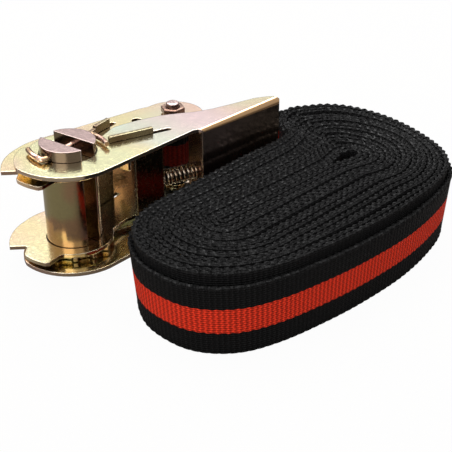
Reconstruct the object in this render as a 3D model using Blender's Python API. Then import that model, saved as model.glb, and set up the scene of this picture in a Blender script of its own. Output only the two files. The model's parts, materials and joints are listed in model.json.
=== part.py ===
"""Closed 25 mm ratchet buckle lying on its side beside its coiled webbing.

The model is drawn with the spool axis as the vertical Z axis through (0, 0),
+X along the handle, +Y away from the coil and the floor at Z = 0, and is then
moved so that the middle of the underside of its bounding box is the origin.
"""

import math

import bmesh
import bpy
from mathutils import Matrix, Vector

MM = 0.001

# --- driving sizes, in millimetres and degrees -------------------------------
STRAP_WIDTH = 25.0
STRAP_THICK = 1.5
STRAP_ROOM = 2.6         # width that the webbing leaves free between the frame plates
FRAME_INNER = STRAP_WIDTH + STRAP_ROOM
PLATE_T = 1.4            # sheet of the handle and frame stampings
WHEEL_T = 1.6
SIDE_GAP = 0.3           # running gap beside each ratchet wheel
FIT_GAP = 0.3            # clearance between pieces that seat in one another
AXLE_PROUD = 3.9         # how far the spool bars stand out of the handle

SPOOL_R = 9.6
SPOOL_SLOT = 6.0
SPOOL_ANGLE = -72.0      # direction of the slot between the bars
SPOOL_CORNER = 0.9
PIN_R = 1.0
PIN_HANG = 47.0          # angle that each pin leg is laid round its bar
WHEEL_ROOT_R = SPOOL_R + 2.1
WHEEL_TIP_R = WHEEL_ROOT_R + 1.8
WHEEL_TEETH = 12

HANDLE_R = WHEEL_TIP_R + 6.5        # round end of the handle plates, near side
HANDLE_CAM_R = WHEEL_TIP_R + FIT_GAP    # relieved side of the round end
HANDLE_STEP_R = HANDLE_CAM_R + 2.4
HANDLE_LENGTH = 86.0     # spool axis to the tip of the grip
WEB_ANGLE = 6.7
WEB_OFFSET = 5.4 - HANDLE_R         # outer face of the web where it starts
BEND_R = 2.0             # mean radius of the fold along the grip

FRAME_R = HANDLE_R + 0.8            # left end of the frame's cam
FRAME_NEAR_R = WHEEL_TIP_R + FIT_GAP    # relieved side of the frame's cam
FRAME_FAR_R = FRAME_R - 1.0 + PLATE_T     # outer face of the frame's web
FRAME_CORNER_R = FRAME_R + 2.3
CORNER_ANGLE = 163.5
NOTCH_FLOOR_R = FRAME_R - 3.3

DRIVE_ANGLE = -9.0       # line that the drive pawl slides along
DRIVE_OFFSET = -0.8
DRIVE_T = 1.5
DRIVE_TRAVEL = 5.5
DRIVE_TIP = WHEEL_TIP_R + 1.1       # distances from the spool axis along that line
DRIVE_BODY_START = FRAME_CORNER_R + 0.8
DRIVE_BODY_END = DRIVE_BODY_START + 10.7
DRIVE_EAR_END = DRIVE_BODY_END - 3.4
DRIVE_SLOT_END = DRIVE_EAR_END + DRIVE_TRAVEL + 1.7
DRIVE_PROUD = 2.2        # ear height above the handle plate
TAB_AT = DRIVE_BODY_END + 13.0      # spring seat folded in from the handle web
TAB_REACH = 5.0
WEB_START = TAB_AT - 1.6

LOCK_ANGLE = 20.0
LOCK_OFFSET = 5.6
LOCK_T = 1.5
LOCK_TRAVEL = 3.0
LOCK_TIP = WHEEL_ROOT_R - 0.8
LOCK_BODY_START = HANDLE_R + 0.6
LOCK_BODY_END = LOCK_BODY_START + 8.8
LOCK_PROUD = 3.1
LOCK_TAB_AT = LOCK_BODY_END + LOCK_TRAVEL + 4.6
# middle of the tooth gap that the lock pawl's tip drops into
LOCK_TOOTH_ANGLE = LOCK_ANGLE + math.degrees(math.asin(LOCK_OFFSET / WHEEL_TIP_R))

TAIL_X = LOCK_TAB_AT + 13.5         # bolt axis
TAIL_Y = 10.0
LOBE_R = FRAME_FAR_R - TAIL_Y
FRAME_WEB_START = 12.0
FRAME_WEB_END = TAIL_X - 7.5
TAIL_HOLE_X = TAIL_X - 14.0
TAIL_HOLE_Y = 13.0
TAIL_HOLE_R = 2.0

BOLT_R = 2.5
BOLT_HEAD_R = 4.2
BOLT_HEAD_H = 2.6
BOLT_END = 1.7           # thread left standing above the nut
NUT_FLATS = 8.0
NUT_H = 2.6
SLEEVE_R = 3.6

SPRING_WIRE_R = 0.4
DRIVE_SPRING_R = 2.7
DRIVE_SPRING_TURNS = 8
LOCK_SPRING_R = 1.8
LOCK_SPRING_TURNS = 6

COIL_LIFT = 4.0          # inner turns stand this much above the outer turn
COIL_MIDDLE = (61.0, -41.0)
COIL_LONG_WAY = -38.0    # direction that the coil's ends lean in
COIL_LEAN_RIGHT = 0.030  # lean of each end at the webbing's upper edge
COIL_LEAN_LEFT = 0.045
LEAD_LIFT = 0.6          # height of the lead's lower edge where it joins the coil

# --- heights, worked out from the sizes above --------------------------------
Z_HANDLE_LOW = AXLE_PROUD
Z_WHEEL_LOW = Z_HANDLE_LOW + PLATE_T + SIDE_GAP
Z_FRAME_LOW = Z_WHEEL_LOW + WHEEL_T + SIDE_GAP
Z_FRAME_IN_LOW = Z_FRAME_LOW + PLATE_T
Z_FRAME_IN_HIGH = Z_FRAME_IN_LOW + FRAME_INNER
Z_FRAME_HIGH = Z_FRAME_IN_HIGH + PLATE_T
Z_WHEEL_HIGH = Z_FRAME_HIGH + SIDE_GAP
Z_HANDLE_IN_HIGH = Z_WHEEL_HIGH + WHEEL_T + SIDE_GAP
Z_HANDLE_HIGH = Z_HANDLE_IN_HIGH + PLATE_T
Z_AXLE_HIGH = Z_HANDLE_HIGH + AXLE_PROUD
Z_MID = 0.5 * Z_AXLE_HIGH
HOLE_R = SPOOL_R + FIT_GAP


# --- small geometry helpers --------------------------------------------------
def polar(radius, degrees):
    a = math.radians(degrees)
    return (radius * math.cos(a), radius * math.sin(a))


def arc(radius, start, end, step=6.0, centre=(0.0, 0.0)):
    """Points from angle start to angle end, both included."""
    count = max(2, int(math.ceil(abs(end - start) / step)) + 1)
    points = []
    for i in range(count):
        x, y = polar(radius, start + (end - start) * i / (count - 1))
        points.append((centre[0] + x, centre[1] + y))
    return points


def sweep(r0, r1, start, end, step=6.0):
    """An arc whose radius changes evenly from r0 to r1."""
    count = max(2, int(math.ceil(abs(end - start) / step)) + 1)
    points = []
    for i in range(count):
        t = i / (count - 1)
        points.append(polar(r0 + (r1 - r0) * t, start + (end - start) * t))
    return points


def turned(points, degrees):
    c = math.cos(math.radians(degrees))
    s = math.sin(math.radians(degrees))
    return [(c * x - s * y, s * x + c * y) for x, y in points]


def box_outline(x0, y0, x1, y1):
    return [(x0, y0), (x1, y0), (x1, y1), (x0, y1)]


def smooth_points(points, closed, per_span):
    """Catmull-Rom points through the given ones."""
    n = len(points)
    spans = n if closed else n - 1
    out = []
    for i in range(spans):
        p = []
        for k in (-1, 0, 1, 2):
            j = (i + k) % n if closed else min(max(i + k, 0), n - 1)
            p.append(Vector(points[j]))
        for k in range(per_span):
            t = k / per_span
            a = 2.0 * p[1] + (p[2] - p[0]) * t
            b = (2.0 * p[0] - 5.0 * p[1] + 4.0 * p[2] - p[3]) * t * t
            c = (3.0 * p[1] - p[0] - 3.0 * p[2] + p[3]) * t * t * t
            out.append(tuple(0.5 * (a + b + c)))
    if not closed:
        out.append(tuple(points[-1]))
    return out


def area_sign(points):
    total = 0.0
    for (x0, y0), (x1, y1) in zip(points, points[1:] + points[:1]):
        total += x0 * y1 - x1 * y0
    return 1.0 if total > 0.0 else -1.0


# --- object helpers ----------------------------------------------------------
def clear_scene():
    for obj in list(bpy.data.objects):
        bpy.data.objects.remove(obj, do_unlink=True)


def material(name, colour, roughness, metallic):
    mat = bpy.data.materials.new(name)
    mat.use_nodes = True
    shader = mat.node_tree.nodes["Principled BSDF"]
    shader.inputs["Base Color"].default_value = (*colour, 1.0)
    shader.inputs["Roughness"].default_value = roughness
    shader.inputs["Metallic"].default_value = metallic
    mat.diffuse_color = (*colour, 1.0)
    return mat


def empty(name, place, parent=None):
    obj = bpy.data.objects.new(name, None)
    bpy.context.scene.collection.objects.link(obj)
    obj.parent = parent
    offset = Vector(place) * MM
    if parent is not None:
        offset -= world_place(parent)
    obj.location = offset
    return obj


def world_place(obj):
    place = obj.location.copy()
    while obj.parent is not None:
        obj = obj.parent
        place += obj.location
    return place


def from_bmesh(name, mesh_data, parent, mat=None, smooth=True):
    """An object from a bmesh drawn in drawing coordinates, in millimetres."""
    origin = world_place(parent)
    for vert in mesh_data.verts:
        vert.co = vert.co * MM - origin
    bmesh.ops.recalc_face_normals(mesh_data, faces=mesh_data.faces)
    mesh = bpy.data.meshes.new(name)
    mesh_data.to_mesh(mesh)
    mesh_data.free()
    obj = bpy.data.objects.new(name, mesh)
    bpy.context.scene.collection.objects.link(obj)
    obj.parent = parent
    if mat is not None:
        mesh.materials.append(mat)
    if smooth:
        mesh.shade_smooth()
        mesh.set_sharp_from_angle(angle=math.radians(32.0))
    return obj


def add_prism(mesh_data, outline, z0, z1):
    if area_sign(outline) < 0.0:
        outline = outline[::-1]
    low = [mesh_data.verts.new((x, y, z0)) for x, y in outline]
    high = [mesh_data.verts.new((x, y, z1)) for x, y in outline]
    mesh_data.faces.new(low[::-1])
    mesh_data.faces.new(high)
    for i in range(len(low)):
        j = (i + 1) % len(low)
        mesh_data.faces.new((low[i], low[j], high[j], high[i]))


def prism(outline, z0, z1):
    mesh_data = bmesh.new()
    add_prism(mesh_data, outline, z0, z1)
    return mesh_data


def cutter(name, mesh_data, parent):
    obj = from_bmesh(name, mesh_data, parent, smooth=False)
    obj.hide_render = True
    obj.display_type = "WIRE"
    return obj


def boolean(obj, tool, operation):
    mod = obj.modifiers.new(tool.name, "BOOLEAN")
    mod.operation = operation
    mod.solver = "EXACT"
    mod.object = tool


def bevel_edges(mesh_data, wanted, width, segments):
    edges = [e for e in mesh_data.edges if wanted(e)]
    bmesh.ops.bevel(
        mesh_data, geom=edges, offset=width, segments=segments,
        profile=0.5, affect="EDGES", clamp_overlap=True,
    )


def tube(points, radius, sides):
    """A capped tube along points, without twist."""
    mesh_data = bmesh.new()
    rings = []
    normal = None
    for i, point in enumerate(points):
        here = Vector(point)
        before = Vector(points[max(i - 1, 0)])
        after = Vector(points[min(i + 1, len(points) - 1)])
        along = (after - before).normalized()
        if normal is None:
            normal = along.orthogonal().normalized()
        normal = (normal - along * normal.dot(along)).normalized()
        side = along.cross(normal)
        ring = []
        for k in range(sides):
            a = 2.0 * math.pi * k / sides
            offset = normal * math.cos(a) + side * math.sin(a)
            ring.append(mesh_data.verts.new(here + offset * radius))
        rings.append(ring)
    for a, b in zip(rings, rings[1:]):
        for k in range(sides):
            m = (k + 1) % sides
            mesh_data.faces.new((a[k], a[m], b[m], b[k]))
    mesh_data.faces.new(rings[0][::-1])
    mesh_data.faces.new(rings[-1])
    return mesh_data


def ribbon(path, z_low, z_high, half):
    """An upright band that follows path, half thick to each side.

    z_low and z_high give the lower and upper edge along the path from 0 to 1.
    """
    mesh_data = bmesh.new()
    rings = []
    last = len(path) - 1
    for i, point in enumerate(path):
        here = Vector(point)
        before = Vector(path[max(i - 1, 0)])
        after = Vector(path[min(i + 1, last)])
        along = (after - before).normalized()
        side = Vector((-along.y, along.x)) * half
        t = i / last
        ring = []
        for sign, z in ((1, z_low(t)), (-1, z_low(t)), (-1, z_high(t)), (1, z_high(t))):
            ring.append(mesh_data.verts.new((here.x + sign * side.x, here.y + sign * side.y, z)))
        rings.append(ring)
    for a, b in zip(rings, rings[1:]):
        for k in range(4):
            m = (k + 1) % 4
            mesh_data.faces.new((a[k], a[m], b[m], b[k]))
    mesh_data.faces.new(rings[0][::-1])
    mesh_data.faces.new(rings[-1])
    return mesh_data


# --- handle ------------------------------------------------------------------
def web_y(x):
    """Outer face of the grip web."""
    return WEB_OFFSET + (x - WEB_START) * math.tan(math.radians(WEB_ANGLE))


def handle_outline():
    tip = HANDLE_LENGTH
    points = arc(HANDLE_R, 186.0, 275.0)
    points += [(WEB_START - 2.6, web_y(WEB_START) + 1.9)]
    points += [(WEB_START - 0.9, web_y(WEB_START) + 1.4)]
    points += [(WEB_START - 0.2, web_y(WEB_START) + 0.4)]
    points += [(WEB_START + 0.6, web_y(WEB_START + 0.6))]
    points += [(tip - 0.8, web_y(tip - 0.8)), (tip, web_y(tip) + 0.9)]
    points += [(tip - 1.2, web_y(tip) + 3.0), (tip - 3.6, web_y(tip) + 4.4)]
    grip = tip - WEB_START
    points += [(WEB_START + 0.8 * grip, web_y(WEB_START + 0.8 * grip) + 6.9)]
    points += [(WEB_START + 0.55 * grip, web_y(WEB_START + 0.55 * grip) + 9.0)]
    points += [(WEB_START + 0.35 * grip, web_y(WEB_START + 0.35 * grip) + 10.8)]
    points += [(WEB_START + 0.175 * grip, web_y(WEB_START + 0.175 * grip) + 13.4)]
    points += [(WEB_START + 1.0, 2.4), (WEB_START - 5.0, 4.7), (WEB_START - 12.0, 6.0)]
    points += [(HANDLE_R + 6.0, 6.6), (HANDLE_R + 2.6, 6.5), (HANDLE_R + 1.2, 6.0)]
    points += [(HANDLE_CAM_R + 1.8, 2.9), (HANDLE_CAM_R + 0.7, 2.7)]
    points += arc(HANDLE_CAM_R, 13.5, 131.0)
    points += sweep(HANDLE_STEP_R, HANDLE_R, 135.0, 182.0)
    return points


def handle_inside():
    """Plan of the channel between the plates, up to the inner face of the web."""
    t = PLATE_T / math.cos(math.radians(WEB_ANGLE))
    reach = HANDLE_LENGTH + 20.0
    low = -HANDLE_R - 10.0
    points = [(-HANDLE_R - 10.0, low), (WEB_START - 0.01, low)]
    points += [(WEB_START - 0.01, web_y(WEB_START) + t)]
    points += [(reach, web_y(reach) + t), (reach, 40.0), (-HANDLE_R - 10.0, 40.0)]
    return points


def drive_slot():
    """Ear opening with the narrow run-out that the ear is pulled along."""
    half = 0.5 * DRIVE_T + FIT_GAP
    mid = DRIVE_OFFSET
    x0 = DRIVE_TIP - 0.9
    x1 = DRIVE_SLOT_END
    points = [(x0, mid - half), (x1 - half, mid - half)]
    points += arc(half, -60.0, 60.0, 30.0, (x1 - half, mid))
    points += [(x1 - half, mid + half), (x0, mid + half)]
    return turned(points, DRIVE_ANGLE)


def handle_tab():
    """Spring seat folded in from the web's end."""
    x0 = TAB_AT
    x1 = TAB_AT + PLATE_T
    s = math.sin(math.radians(DRIVE_ANGLE))
    c = math.cos(math.radians(DRIVE_ANGLE))
    near = (web_y(x1) + 0.2 * PLATE_T - x1 * s) / c
    far = DRIVE_OFFSET + TAB_REACH
    return turned(box_outline(x0, near, x1, far), DRIVE_ANGLE)


def fold_cutter(z_face, inward):
    """What the grip's fold leaves off the square corner, wider towards the tip."""
    mesh_data = bmesh.new()
    across = Vector(turned([(0.0, 1.0)], WEB_ANGLE)[0])
    rings = []
    for x, radius in ((WEB_START - 0.25, 0.7 * BEND_R), (HANDLE_LENGTH + 2.0, 1.3 * BEND_R)):
        corner = [(-1.0, -1.0), (radius, -1.0)]
        corner += arc(radius, 270.0, 180.0, 15.0, (radius, radius))
        corner += [(-1.0, radius)]
        ring = []
        for u, w in corner:
            ring.append(mesh_data.verts.new(
                (x + across.x * u, web_y(x) + across.y * u, z_face + inward * w)
            ))
        rings.append(ring)
    n = len(rings[0])
    for k in range(n):
        m = (k + 1) % n
        mesh_data.faces.new((rings[0][k], rings[0][m], rings[1][m], rings[1][k]))
    mesh_data.faces.new(rings[0])
    mesh_data.faces.new(rings[1])
    bmesh.ops.recalc_face_normals(mesh_data, faces=mesh_data.faces)
    return mesh_data


def build_handle(parent, mat):
    body = prism(handle_outline(), Z_HANDLE_LOW, Z_HANDLE_HIGH)
    handle = from_bmesh("handle", body, parent, mat)
    for label, z_face, inward in (("low", Z_HANDLE_LOW, 1.0), ("high", Z_HANDLE_HIGH, -1.0)):
        fold = cutter("cut_fold_" + label, fold_cutter(z_face, inward), parent)
        boolean(handle, fold, "DIFFERENCE")
    low = Z_HANDLE_LOW + PLATE_T
    channel = prism(handle_inside(), low, Z_HANDLE_IN_HIGH)
    boolean(handle, cutter("cut_handle_channel", channel, parent), "DIFFERENCE")
    tab = prism(handle_tab(), low - 0.5 * PLATE_T, Z_HANDLE_IN_HIGH + 0.5 * PLATE_T)
    boolean(handle, cutter("add_handle_tab", tab, parent), "UNION")
    holes = bmesh.new()
    add_prism(holes, arc(HOLE_R, 0.0, 352.5, 7.5), -1.0, Z_AXLE_HIGH + 1.0)
    add_prism(holes, drive_slot(), -1.0, Z_AXLE_HIGH + 1.0)
    boolean(handle, cutter("cut_handle_holes", holes, parent), "DIFFERENCE")
    return handle


# --- frame -------------------------------------------------------------------
def frame_outline():
    tail = (TAIL_X, TAIL_Y)
    points = arc(FRAME_R, 186.0, 211.0)
    points += [polar(FRAME_R - 1.0, 214.0), polar(FRAME_NEAR_R + 1.0, 219.0)]
    points += arc(FRAME_NEAR_R, 224.0, 338.0) + [polar(FRAME_R, 355.0)]
    points += [(TAIL_X - 2.0, TAIL_Y - LOBE_R)]
    points += arc(LOBE_R, 276.0, 450.0, 8.0, tail)
    points += [(TAIL_X - 4.2, TAIL_Y + LOBE_R - 0.5)]
    points += [(FRAME_WEB_END, FRAME_FAR_R)]
    points += arc(FRAME_FAR_R, 90.0, 110.0)
    points += sweep(FRAME_FAR_R, FRAME_CORNER_R, 116.0, CORNER_ANGLE)
    points += [polar(NOTCH_FLOOR_R + 0.5, CORNER_ANGLE + 5.0)]
    points += [polar(NOTCH_FLOOR_R + 0.2, CORNER_ANGLE + 8.5)]
    points += [polar(FRAME_R - 1.6, CORNER_ANGLE + 15.0)]
    points += [polar(FRAME_R - 0.4, CORNER_ANGLE + 19.0)]
    return points


def lock_slot():
    half = 0.5 * LOCK_T + FIT_GAP
    x0 = LOCK_BODY_START - FIT_GAP
    x1 = LOCK_BODY_END + LOCK_TRAVEL + FIT_GAP
    mid = LOCK_OFFSET
    return turned(box_outline(x0, mid - half, x1, mid + half), LOCK_ANGLE)


def frame_inside():
    """Plan of the space between the plates, up to the inner face of the web."""
    wall = FRAME_FAR_R - PLATE_T
    low = -FRAME_R - 10.0
    reach = TAIL_X + LOBE_R + 10.0
    left = -FRAME_CORNER_R - 10.0
    points = [(left, low), (reach, low), (reach, FRAME_FAR_R + 10.0)]
    points += [(FRAME_WEB_END, FRAME_FAR_R + 10.0), (FRAME_WEB_END, wall)]
    points += [(FRAME_WEB_START, wall), (FRAME_WEB_START, FRAME_FAR_R + 10.0)]
    points += [(left, FRAME_FAR_R + 10.0)]
    return points


def frame_tab():
    """Spring seat folded in from the frame's web."""
    x0 = LOCK_TAB_AT
    x1 = LOCK_TAB_AT + PLATE_T
    near = LOCK_OFFSET - LOCK_SPRING_R - SPRING_WIRE_R
    s = math.sin(math.radians(LOCK_ANGLE))
    c = math.cos(math.radians(LOCK_ANGLE))
    far = (FRAME_FAR_R - 0.5 * PLATE_T - x1 * s) / c
    return turned(box_outline(x0, near, x1, far), LOCK_ANGLE)


def build_frame(parent, mat):
    body = prism(frame_outline(), Z_FRAME_LOW, Z_FRAME_HIGH)

    def web_edge(edge):
        a, b = (v.co for v in edge.verts)
        level = abs(a.z - b.z) < 1e-6
        far = min(a.y, b.y) > FRAME_FAR_R - 0.2
        return level and far and abs(a.x - b.x) > 0.5 * (FRAME_WEB_END - FRAME_WEB_START)

    bevel_edges(body, web_edge, PLATE_T * 0.8, 3)
    frame = from_bmesh("frame", body, parent, mat)
    inside = prism(frame_inside(), Z_FRAME_IN_LOW, Z_FRAME_IN_HIGH)
    boolean(frame, cutter("cut_frame_inside", inside, parent), "DIFFERENCE")
    low = Z_MID - 6.0
    tab = prism(frame_tab(), low, Z_MID + 6.0)
    boolean(frame, cutter("add_frame_tab", tab, parent), "UNION")
    holes = bmesh.new()
    top = Z_AXLE_HIGH + 1.0
    add_prism(holes, arc(HOLE_R, 0.0, 352.5, 7.5), -1.0, top)
    add_prism(holes, lock_slot(), -1.0, top)
    bolt_hole = arc(BOLT_R + FIT_GAP, 0.0, 345.0, 15.0, (TAIL_X, TAIL_Y))
    add_prism(holes, bolt_hole, -1.0, top)
    small = arc(TAIL_HOLE_R, 0.0, 340.0, 20.0, (TAIL_HOLE_X, TAIL_HOLE_Y))
    add_prism(holes, small, -1.0, top)
    boolean(frame, cutter("cut_frame_holes", holes, parent), "DIFFERENCE")
    return frame


# --- spool -------------------------------------------------------------------
def bar_outline(grow=0.0):
    """Half-moon section of one spool bar, its flat facing the slot."""
    radius = SPOOL_R + grow
    flat = 0.5 * SPOOL_SLOT - grow
    edge = math.degrees(math.asin(flat / radius))
    cut = math.degrees(SPOOL_CORNER / radius)
    points = arc(radius, edge + cut, 180.0 - edge - cut, 7.0)
    half = math.sqrt(radius * radius - flat * flat) - SPOOL_CORNER
    points += [(-half, flat), (half, flat)]
    return points


def build_bar(name, side, parent, mat):
    turn = SPOOL_ANGLE + (0.0 if side > 0 else 180.0)
    body = prism(turned(bar_outline(), turn), 0.0, Z_AXLE_HIGH)

    def end_edge(edge):
        a, b = (v.co for v in edge.verts)
        return abs(a.z - b.z) < 1e-6

    bevel_edges(body, end_edge, 0.4, 1)
    bar = from_bmesh(name, body, parent, mat)
    direction = SPOOL_ANGLE + 90.0
    holes = bmesh.new()
    for z in (pin_height(1), pin_height(-1)):
        a = polar(SPOOL_R + 5.0, direction)
        ends = [(-a[0], -a[1], z), (a[0], a[1], z)]
        piece = tube(ends, PIN_R + FIT_GAP, 10)
        copy_into(piece, holes)
    tool = cutter("cut_" + name, holes, parent)
    boolean(bar, tool, "DIFFERENCE")
    return bar


def copy_into(source, target):
    source.verts.index_update()
    table = [target.verts.new(vert.co) for vert in source.verts]
    for face in source.faces:
        target.faces.new([table[v.index] for v in face.verts])
    source.free()


def pin_height(side):
    half = 0.5 * (Z_HANDLE_HIGH - Z_HANDLE_LOW)
    return Z_MID + side * (half + 0.45 + PIN_R)


def build_pin(name, side, parent, mat):
    """Split pin through both bars, its legs laid round them."""
    z = pin_height(side)
    direction = SPOOL_ANGLE + 90.0
    out = SPOOL_R + PIN_R + 0.7
    reach = DRIVE_TIP - 1.5 * FIT_GAP - PIN_R
    leg = [polar(out, direction), polar(out + 0.8, direction - 0.3 * PIN_HANG)]
    leg += [polar(0.5 * (out + reach) + 0.3, direction - 0.64 * PIN_HANG)]
    leg += [polar(reach, direction - PIN_HANG)]
    plan = [(-x, -y) for x, y in leg[::-1]] + [(0.0, 0.0)] + leg
    points = smooth_points([(x, y, z) for x, y in plan], False, 4)
    return from_bmesh(name, tube(points, PIN_R, 8), parent, mat)


def wheel_outline():
    points = []
    pitch = 360.0 / WHEEL_TEETH
    for i in range(WHEEL_TEETH):
        a = LOCK_TOOTH_ANGLE + pitch * i
        points += [polar(WHEEL_ROOT_R, a - 0.28 * pitch)]
        points += [polar(WHEEL_ROOT_R, a + 0.28 * pitch)]
        points += [polar(WHEEL_TIP_R, a + 0.40 * pitch)]
        points += [polar(WHEEL_TIP_R, a + 0.60 * pitch)]
    return points


def build_wheel(name, z0, parent, mat):
    wheel = from_bmesh(name, prism(wheel_outline(), z0, z0 + WHEEL_T), parent, mat)
    holes = bmesh.new()
    for turn in (SPOOL_ANGLE, SPOOL_ANGLE + 180.0):
        add_prism(holes, turned(bar_outline(FIT_GAP), turn), z0 - 1.0, z0 + WHEEL_T + 1.0)
    tool = cutter("cut_" + name, holes, parent)
    boolean(wheel, tool, "DIFFERENCE")
    return wheel


# --- pawls -------------------------------------------------------------------
def upright_plate(profile, angle, offset, thick):
    """A plate drawn as (distance along the line, height), standing on the line."""
    mesh_data = bmesh.new()
    if area_sign(profile) < 0.0:
        profile = profile[::-1]
    sides = []
    for shift in (-0.5 * thick, 0.5 * thick):
        ring = []
        for x, z in profile:
            px, py = turned([(x, offset + shift)], angle)[0]
            ring.append(mesh_data.verts.new((px, py, z)))
        sides.append(ring)
    mesh_data.faces.new(sides[0])
    mesh_data.faces.new(sides[1][::-1])
    for i in range(len(profile)):
        j = (i + 1) % len(profile)
        mesh_data.faces.new((sides[0][i], sides[1][i], sides[1][j], sides[0][j]))
    return mesh_data


def mirrored(profile):
    """A profile given for the upper half, completed below the middle height."""
    return profile + [(x, 2.0 * Z_MID - z) for x, z in profile[::-1]]


def drive_profile():
    """Plate outside the frame's rim, with ears that reach in to the wheels."""
    top = Z_HANDLE_HIGH + DRIVE_PROUD
    ear_low = Z_FRAME_HIGH + SIDE_GAP
    points = [(DRIVE_BODY_START, Z_MID), (DRIVE_BODY_START, ear_low)]
    points += [(DRIVE_TIP, ear_low + 0.3), (DRIVE_TIP, top - 0.5)]
    points += [(DRIVE_TIP + 0.5, top), (DRIVE_EAR_END, top)]
    points += [(DRIVE_EAR_END, Z_HANDLE_IN_HIGH - FIT_GAP)]
    points += [(DRIVE_BODY_END, Z_HANDLE_IN_HIGH - FIT_GAP - 1.0)]
    points += [(DRIVE_BODY_END, Z_MID)]
    return mirrored(points[1:-1])


def lock_profile():
    top = Z_FRAME_HIGH + LOCK_PROUD
    ear_low = Z_FRAME_HIGH + 0.5 * SIDE_GAP
    tip_high = Z_HANDLE_IN_HIGH - 0.5 * SIDE_GAP
    points = [(LOCK_BODY_START, ear_low), (LOCK_TIP, ear_low)]
    points += [(LOCK_TIP, tip_high), (LOCK_BODY_START + 0.6, tip_high)]
    points += [(LOCK_BODY_START + 0.9, top), (LOCK_BODY_END, top)]
    return mirrored(points)


def build_pawls(drive_parent, lock_parent, mat):
    drive = upright_plate(drive_profile(), DRIVE_ANGLE, DRIVE_OFFSET, DRIVE_T)
    lock = upright_plate(lock_profile(), LOCK_ANGLE, LOCK_OFFSET, LOCK_T)
    from_bmesh("drive_pawl", drive, drive_parent, mat)
    from_bmesh("lock_pawl", lock, lock_parent, mat)


def build_spring(name, x0, x1, radius, turns, line, parent, mat):
    """Round-wire compression spring lying along a pawl's line at mid height."""
    angle, offset = line
    points = []
    steps = turns * 12
    first = x0 + SPRING_WIRE_R + FIT_GAP
    last = x1 - SPRING_WIRE_R - FIT_GAP
    for i in range(steps + 1):
        a = 2.0 * math.pi * turns * i / steps
        x = first + (last - first) * i / steps
        y = offset + radius * math.cos(a)
        px, py = turned([(x, y)], angle)[0]
        points.append((px, py, Z_MID + radius * math.sin(a)))
    return from_bmesh(name, tube(points, SPRING_WIRE_R, 6), parent, mat)


# --- tail bolt ---------------------------------------------------------------
def build_bolt(parent, mat):
    """Bolt from below, its shank through both plates and the nut."""
    centre = (TAIL_X, TAIL_Y)
    low = Z_FRAME_LOW - FIT_GAP
    high = Z_FRAME_HIGH + FIT_GAP + NUT_H + BOLT_END
    profile = [(BOLT_HEAD_R * 0.82, low - BOLT_HEAD_H), (BOLT_HEAD_R, low - BOLT_HEAD_H + 0.8)]
    profile += [(BOLT_HEAD_R, low), (BOLT_R, low), (BOLT_R, high - 0.4), (BOLT_R - 0.5, high)]
    from_bmesh("tail_bolt", turned_solid(profile, centre, 20), parent, mat)
    nut = bmesh.new()
    flats = arc(0.5 * NUT_FLATS / math.cos(math.radians(30.0)), 10.0, 310.0, 60.0, centre)
    nut_low = Z_FRAME_HIGH + FIT_GAP
    add_prism(nut, flats, nut_low, nut_low + NUT_H)
    bevel_edges(nut, lambda e: abs(e.verts[0].co.z - e.verts[1].co.z) < 1e-6, 0.35, 1)
    nut_obj = from_bmesh("tail_nut", nut, parent, mat)
    ring = arc(BOLT_R + 0.5 * FIT_GAP, 0.0, 342.0, 18.0, centre)
    bore = cutter("cut_nut", prism(ring, nut_low - 1.0, nut_low + NUT_H + 1.0), parent)
    boolean(nut_obj, bore, "DIFFERENCE")
    low = Z_FRAME_IN_LOW + FIT_GAP
    high = Z_FRAME_IN_HIGH - FIT_GAP
    sleeve = ring_solid(SLEEVE_R, BOLT_R + FIT_GAP, low, high, centre)
    from_bmesh("tail_sleeve", sleeve, parent, mat)


def turned_solid(profile, centre, sides):
    """A closed solid turned from (radius, height) points, low to high."""
    mesh_data = bmesh.new()
    rings = []
    for radius, z in profile:
        ring = []
        for k in range(sides):
            x, y = polar(radius, 360.0 * k / sides)
            ring.append(mesh_data.verts.new((centre[0] + x, centre[1] + y, z)))
        rings.append(ring)
    for a, b in zip(rings, rings[1:]):
        for k in range(sides):
            m = (k + 1) % sides
            mesh_data.faces.new((a[k], a[m], b[m], b[k]))
    mesh_data.faces.new(rings[0][::-1])
    mesh_data.faces.new(rings[-1])
    return mesh_data


def ring_solid(outer, inner, z0, z1, centre, sides=24):
    mesh_data = bmesh.new()
    loops = []
    for radius, z in ((inner, z0), (outer, z0), (outer, z1), (inner, z1)):
        ring = []
        for k in range(sides):
            x, y = polar(radius, 360.0 * k / sides)
            ring.append(mesh_data.verts.new((centre[0] + x, centre[1] + y, z)))
        loops.append(ring)
    for i in range(4):
        a = loops[i]
        b = loops[(i + 1) % 4]
        for k in range(sides):
            m = (k + 1) % sides
            mesh_data.faces.new((a[k], a[m], b[m], b[k]))
    return mesh_data


# --- webbing -----------------------------------------------------------------
def strap_low():
    """Lower edge of the webbing where it is held centred between the plates."""
    return Z_MID - 0.5 * STRAP_WIDTH


def build_eye(parent, mat):
    """Loop of webbing round the sleeve, closed by its sewn double tail."""
    inner = SLEEVE_R + FIT_GAP
    outer = inner + STRAP_THICK
    centre = (TAIL_X, TAIL_Y)
    low = strap_low()
    high = low + STRAP_WIDTH
    eye = ring_solid(outer, inner, low, high, centre, 28)
    eye = from_bmesh("strap_eye", eye, parent, mat)
    tail = ribbon(eye_tail(), lambda t: low, lambda t: high, STRAP_THICK)
    boolean(eye, cutter("add_eye_tail", tail, parent), "UNION")
    return eye


def eye_tail():
    start = SLEEVE_R + FIT_GAP + 0.6 * STRAP_THICK
    path = []
    for i in range(4):
        x = start + i * 3.4
        path.append((TAIL_X + x, TAIL_Y - 0.9 - 0.16 * x))
    return path


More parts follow.
